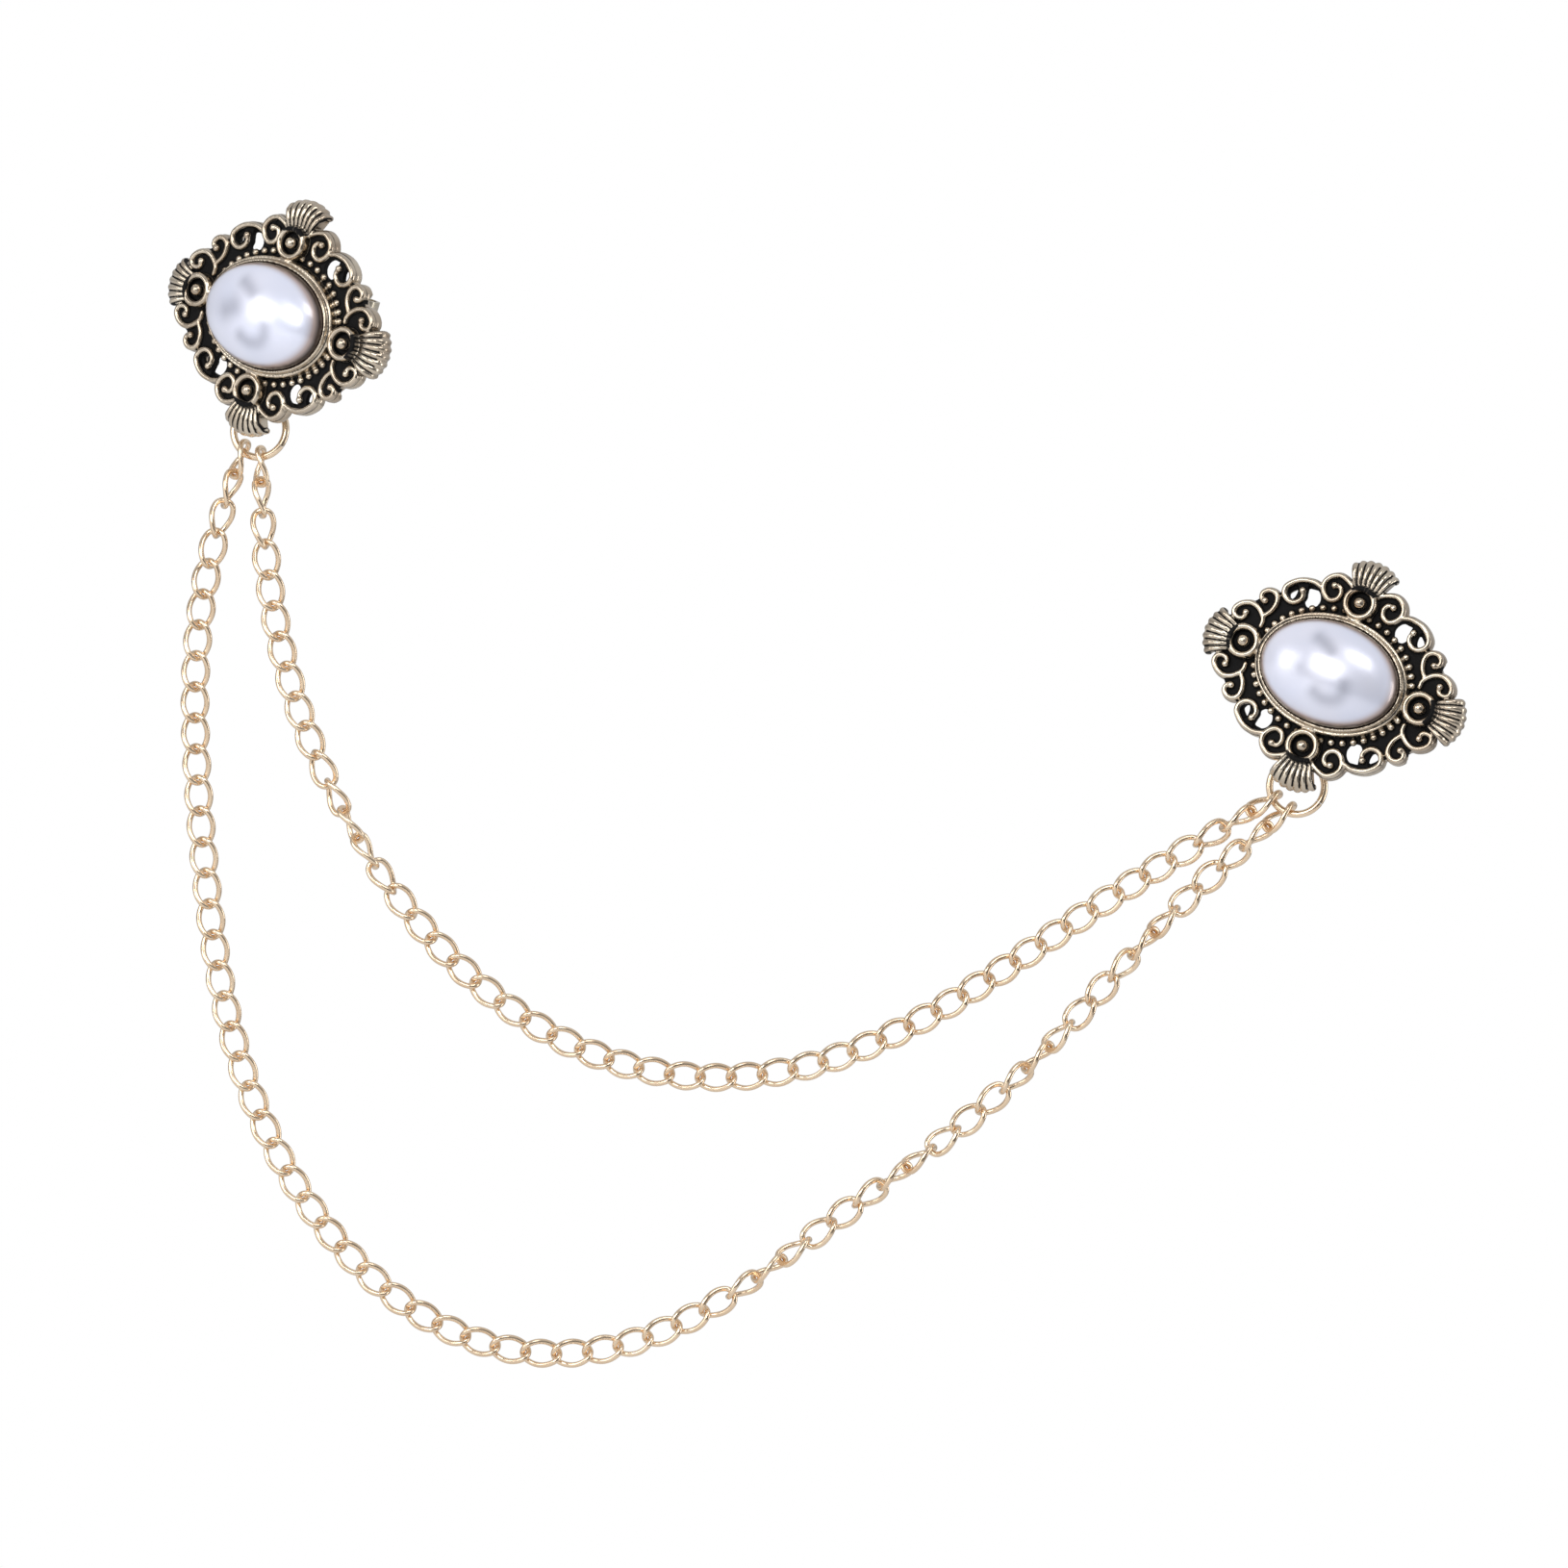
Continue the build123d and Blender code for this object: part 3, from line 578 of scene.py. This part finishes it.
class Nodes:
    """A short way to write a material's node tree."""

    def __init__(self, name):
        self.material = bpy.data.materials.new(name)
        self.material.use_nodes = True
        self.tree = self.material.node_tree
        self.tree.nodes.clear()
        self.out = self.tree.nodes.new("ShaderNodeOutputMaterial")
        self.skin = self.add("ShaderNodeBsdfPrincipled")
        self.link(self.skin.outputs[0], self.out.inputs["Surface"])

    def add(self, kind, **values):
        node = self.tree.nodes.new(kind)
        for key, value in values.items():
            if hasattr(node, key):
                setattr(node, key, value)
            else:
                node.inputs[key].default_value = value
        return node

    def link(self, a, b):
        self.tree.links.new(a, b)

    def feed(self, node, key, source):
        if isinstance(source, (int, float, tuple)):
            node.inputs[key].default_value = source
        else:
            self.link(source, node.inputs[key])

    def where(self):
        return self.add("ShaderNodeTexCoord").outputs["Object"]

    def noise(self, scale, detail=3.0, rough=0.55):
        node = self.add("ShaderNodeTexNoise")
        node.inputs["Scale"].default_value = scale
        node.inputs["Detail"].default_value = detail
        node.inputs["Roughness"].default_value = rough
        self.link(self.where(), node.inputs["Vector"])
        return node.outputs["Fac"]

    def fit(self, source, a, b, c, d):
        node = self.add("ShaderNodeMapRange")
        self.feed(node, "Value", source)
        for key, value in zip(("From Min", "From Max", "To Min", "To Max"), (a, b, c, d)):
            node.inputs[key].default_value = value
        return node.outputs["Result"]

    def mix(self, fac, a, b):
        node = self.tree.nodes.new("ShaderNodeMix")
        node.data_type = "RGBA"
        self.feed(node, 0, fac)
        self.feed(node, 6, a)
        self.feed(node, 7, b)
        return node.outputs[2]

    def maths(self, op, a, b=0.5):
        node = self.tree.nodes.new("ShaderNodeMath")
        node.operation = op
        node.use_clamp = True
        self.feed(node, 0, a)
        self.feed(node, 1, b)
        return node.outputs[0]

    def bump(self, height, distance, strength=1.0):
        node = self.add("ShaderNodeBump")
        node.inputs["Strength"].default_value = strength
        node.inputs["Distance"].default_value = distance
        self.link(height, node.inputs["Height"])
        self.link(node.outputs[0], self.skin.inputs["Normal"])

    def set(self, **values):
        for key, value in values.items():
            self.feed(self.skin, key.replace("_", " "), value)
        return self.material


def antique_gold():
    n = Nodes("antique_gold")
    layer = n.add("ShaderNodeAttribute")
    layer.attribute_name = "black"
    # ambient occlusion pulls the colour towards the black in recesses: partly the antique black that stays
    # in hollows, partly painted shade
    shade = n.add("ShaderNodeAmbientOcclusion")
    shade.samples = 12
    shade.only_local = True
    shade.inputs["Distance"].default_value = 0.6 * MM
    hollow_finish_and_shade = n.fit(shade.outputs["AO"], 0.25, 0.7, 0.9, 0.0)
    wear = n.fit(n.noise(900.0), 0.35, 0.65, -0.12, 0.12)
    black = n.maths("MAXIMUM", layer.outputs["Fac"], hollow_finish_and_shade)
    black = n.maths("ADD", black, wear)
    black = n.fit(black, 0.25, 0.75, 0.0, 1.0)
    tone = n.mix(n.fit(n.noise(260.0), 0.3, 0.7, 0.0, 1.0), GOLD_BRIGHT, GOLD_DULL)
    # black finish and painted shade from the ambient occlusion
    colour = n.mix(black, tone, BLACK_FINISH_AND_SHADE)
    rough = n.fit(n.noise(1500.0), 0.3, 0.7, 0.17, 0.3)
    metal = n.fit(black, 0.0, 1.0, 1.0, 0.0)
    n.bump(n.noise(1100.0, 4.0), 0.06 * MM, 0.5)
    rough = n.maths("MAXIMUM", rough, n.fit(black, 0.3, 1.0, 0.0, 0.6))
    return n.set(Base_Color=colour, Metallic=metal, Roughness=rough,
                 Specular_IOR_Level=n.fit(black, 0.0, 1.0, 0.5, 0.12))


def rose_gold():
    n = Nodes("rose_gold")
    tone = n.mix(n.fit(n.noise(180.0), 0.3, 0.7, 0.0, 1.0), ROSE_BRIGHT, ROSE_DULL)
    return n.set(Base_Color=tone, Metallic=1.0, Roughness=n.fit(n.noise(600.0), 0.3, 0.7, 0.14, 0.26))


def pearl_skin():
    n = Nodes("pearl")
    tone = n.mix(n.fit(n.noise(120.0, 2.0), 0.3, 0.7, 0.0, 1.0), NACRE_COOL, NACRE_PALE)
    rim = n.add("ShaderNodeAttribute")
    rim.attribute_name = "edge"
    painted_reflection = n.add("ShaderNodeAttribute")
    painted_reflection.attribute_name = "painted_reflection"
    # painted reflection: the grey smudges darken the pearl's colour
    tone = n.mix(n.fit(painted_reflection.outputs["Fac"], 0.0, 1.0, 0.0, 0.75), tone, PAINTED_REFLECTION_GREY)
    # painted reflection of the gold bezel, then painted shade, near the pearl's foot
    painted_rim_reflection = n.mix(n.fit(rim.outputs["Fac"], 0.0, 0.5, 0.0, 1.0), tone, RIM_PAINTED_REFLECTION)
    colour = n.mix(n.fit(rim.outputs["Fac"], 0.55, 0.95, 0.0, 1.0), painted_rim_reflection, RIM_PAINTED_SHADE)
    n.bump(n.noise(260.0, 1.0), 0.06 * MM, 0.25)
    return n.set(Base_Color=colour, Metallic=0.3, Roughness=0.34, Coat_Weight=1.0, Coat_Roughness=0.16,
                 Coat_IOR=1.6)


def plated_steel():
    n = Nodes("plated_steel")
    tone = n.mix(n.fit(n.noise(300.0), 0.3, 0.7, 0.0, 1.0), STEEL_BRIGHT, STEEL_DULL)
    n.bump(n.noise(2200.0, 2.0), 0.015 * MM, 0.25)
    return n.set(Base_Color=tone, Metallic=1.0, Roughness=n.fit(n.noise(900.0), 0.3, 0.7, 0.22, 0.36))


def cured_glue():
    n = Nodes("glue")
    n.bump(n.noise(700.0), 0.05 * MM, 0.4)
    tone = n.mix(n.noise(400.0), GLUE_PALE, GLUE_DARK)
    return n.set(Base_Color=tone, Roughness=0.55, Subsurface_Weight=0.3, Subsurface_Scale=0.5 * MM)


gold = antique_gold()
rose = rose_gold()
pearl_look = pearl_skin()
steel = plated_steel()
glue = cured_glue()

# ---------------------------------------------------------------- pieces

casting = casting_mesh()
pearl = pearl_mesh()
for side, setting, origin in (("left", LEFT_SET, left_origin), ("right", RIGHT_SET, right_origin)):
    body = place(casting, side + "_filigree", setting, origin, gold)
    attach(body, "tacks")
    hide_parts(side + "_casting")
    stone = place(pearl, side + "_cabochon", setting, origin, pearl_look)
    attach(stone, "tacks")
    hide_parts(side + "_pearl")
    for part in ("tack_pad", "tack_post", "clutch_base", "clutch_wing_a", "clutch_wing_b"):
        dress(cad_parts[side + "_" + part], steel)
    dress(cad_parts[side + "_glue_bed"], glue)

for name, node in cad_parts.items():
    if "chain" in name or "jump_ring" in name:
        dress(node, rose)
        smooth(node.data)

# ---------------------------------------------------------------- floor, light and camera

# in metres, but for what is named in millimetres
MIDDLE = Vector((0.05, 0, -0.02))
# softboxes: name, bearing from straight in front towards +x, height angle, size and power
LAMPS = [("main", -25, 13, (0.28, 0.25), 0.95),
         ("left", -60, 0, (0.24, 0.28), 0.6),
         ("high", 6, 46, (0.24, 0.2), 0.55),
         ("right", 84, 14, (0.12, 0.34), 0.42),
         ("under", 10, -60, (0.3, 0.12), 0.12)]
LAMP_REACH = 0.55       # metres from the object's middle
SKY_TINT = (0.94, 0.96, 1.0, 1)
SKY_TOP = 0.34          # strength overhead
SKY_BACK = 0.35         # behind the object
SKY_DARK = 0.03         # in front of it
TILT = math.radians(23)     # the camera's roll
FRAME_MM = 149.8        # width of the view at the object
LENS = 500.0
SENSOR = 36.0
CAMERA_X, CAMERA_Z = 0.06000, -0.02452
FLOOR_R, FLOOR_Z = 0.5, -0.15
FLOOR_SIDES = 96
FLOOR_TONE = (0.86, 0.86, 0.86, 1)


def floor():
    made = bpy.data.meshes.new("floor")
    turns = np.linspace(0, 2 * math.pi, FLOOR_SIDES + 1)
    ring = [(FLOOR_R * math.cos(a), FLOOR_R * math.sin(a), 0) for a in turns[:-1]]
    made.from_pydata(ring, [], [tuple(range(FLOOR_SIDES))])
    disc = bpy.data.objects.new("floor", made)
    disc.location = (MIDDLE.x, 0, FLOOR_Z)
    bpy.context.scene.collection.objects.link(disc)
    n = Nodes("floor")
    n.set(Base_Color=FLOOR_TONE, Roughness=0.7)
    made.materials.append(n.material)


def lamp(name, at, aim, size, power):
    data = bpy.data.lights.new(name, "AREA")
    data.shape = "RECTANGLE"
    data.size, data.size_y = size
    data.energy = power
    made = bpy.data.objects.new(name, data)
    bpy.context.scene.collection.objects.link(made)
    made.location = at
    made.rotation_mode = "QUATERNION"
    made.rotation_quaternion = (Vector(aim) - Vector(at)).to_track_quat("-Z", "Y")
    made.visible_camera = False


def sky():
    world = bpy.data.worlds.new("studio")
    bpy.context.scene.world = world
    world.use_nodes = True
    tree = world.node_tree
    tree.nodes.clear()
    out = tree.nodes.new("ShaderNodeOutputWorld")
    seen = tree.nodes.new("ShaderNodeBackground")
    seen.inputs[0].default_value = (1, 1, 1, 1)
    seen.inputs[1].default_value = 1.0
    soft = tree.nodes.new("ShaderNodeBackground")
    soft.inputs[0].default_value = SKY_TINT
    where = tree.nodes.new("ShaderNodeTexCoord")
    split = tree.nodes.new("ShaderNodeSeparateXYZ")
    tree.links.new(where.outputs["Generated"], split.inputs[0])
    # the light that falls on the object: dark in front of it, bright above and at the back.
    # The camera itself sees plain white.
    parts = []
    for axis, low, high, least, most in ((2, -0.5, 0.9, 0.0, SKY_TOP), (1, -0.9, 0.1, SKY_DARK, SKY_BACK)):
        fit = tree.nodes.new("ShaderNodeMapRange")
        fit.interpolation_type = "SMOOTHSTEP"
        for key, value in zip(("From Min", "From Max", "To Min", "To Max"), (low, high, least, most)):
            fit.inputs[key].default_value = value
        tree.links.new(split.outputs[axis], fit.inputs["Value"])
        parts.append(fit.outputs["Result"])
    total = tree.nodes.new("ShaderNodeMath")
    total.operation = "ADD"
    tree.links.new(parts[0], total.inputs[0])
    tree.links.new(parts[1], total.inputs[1])
    tree.links.new(total.outputs[0], soft.inputs[1])
    path = tree.nodes.new("ShaderNodeLightPath")
    mix = tree.nodes.new("ShaderNodeMixShader")
    tree.links.new(path.outputs["Is Camera Ray"], mix.inputs[0])
    tree.links.new(soft.outputs[0], mix.inputs[1])
    tree.links.new(seen.outputs[0], mix.inputs[2])
    tree.links.new(mix.outputs[0], out.inputs[0])


def camera():
    data = bpy.data.cameras.new("camera")
    data.lens = LENS
    data.sensor_width = SENSOR
    data.clip_start, data.clip_end = 0.1, 20
    made = bpy.data.objects.new("camera", data)
    bpy.context.scene.collection.objects.link(made)
    bpy.context.scene.camera = made
    right = Vector((math.cos(TILT), 0, math.sin(TILT)))
    up = Vector((-math.sin(TILT), 0, math.cos(TILT)))
    back = Vector((0, -1, 0))
    turn = Matrix((right, up, back)).transposed()
    distance = FRAME_MM * MM / 2 / (SENSOR / 2 / LENS)
    made.matrix_world = Matrix.Translation(Vector((CAMERA_X, -distance, CAMERA_Z))) @ turn.to_4x4()


floor()
sky()
for name, bearing, height, size, power in LAMPS:
    b, h = math.radians(bearing), math.radians(height)
    at = Vector((math.sin(b) * math.cos(h), -math.cos(b) * math.cos(h), math.sin(h)))
    at = at * LAMP_REACH + MIDDLE
    lamp(name, at, MIDDLE, size, power)
camera()
bpy.context.scene.view_settings.view_transform = "Standard"
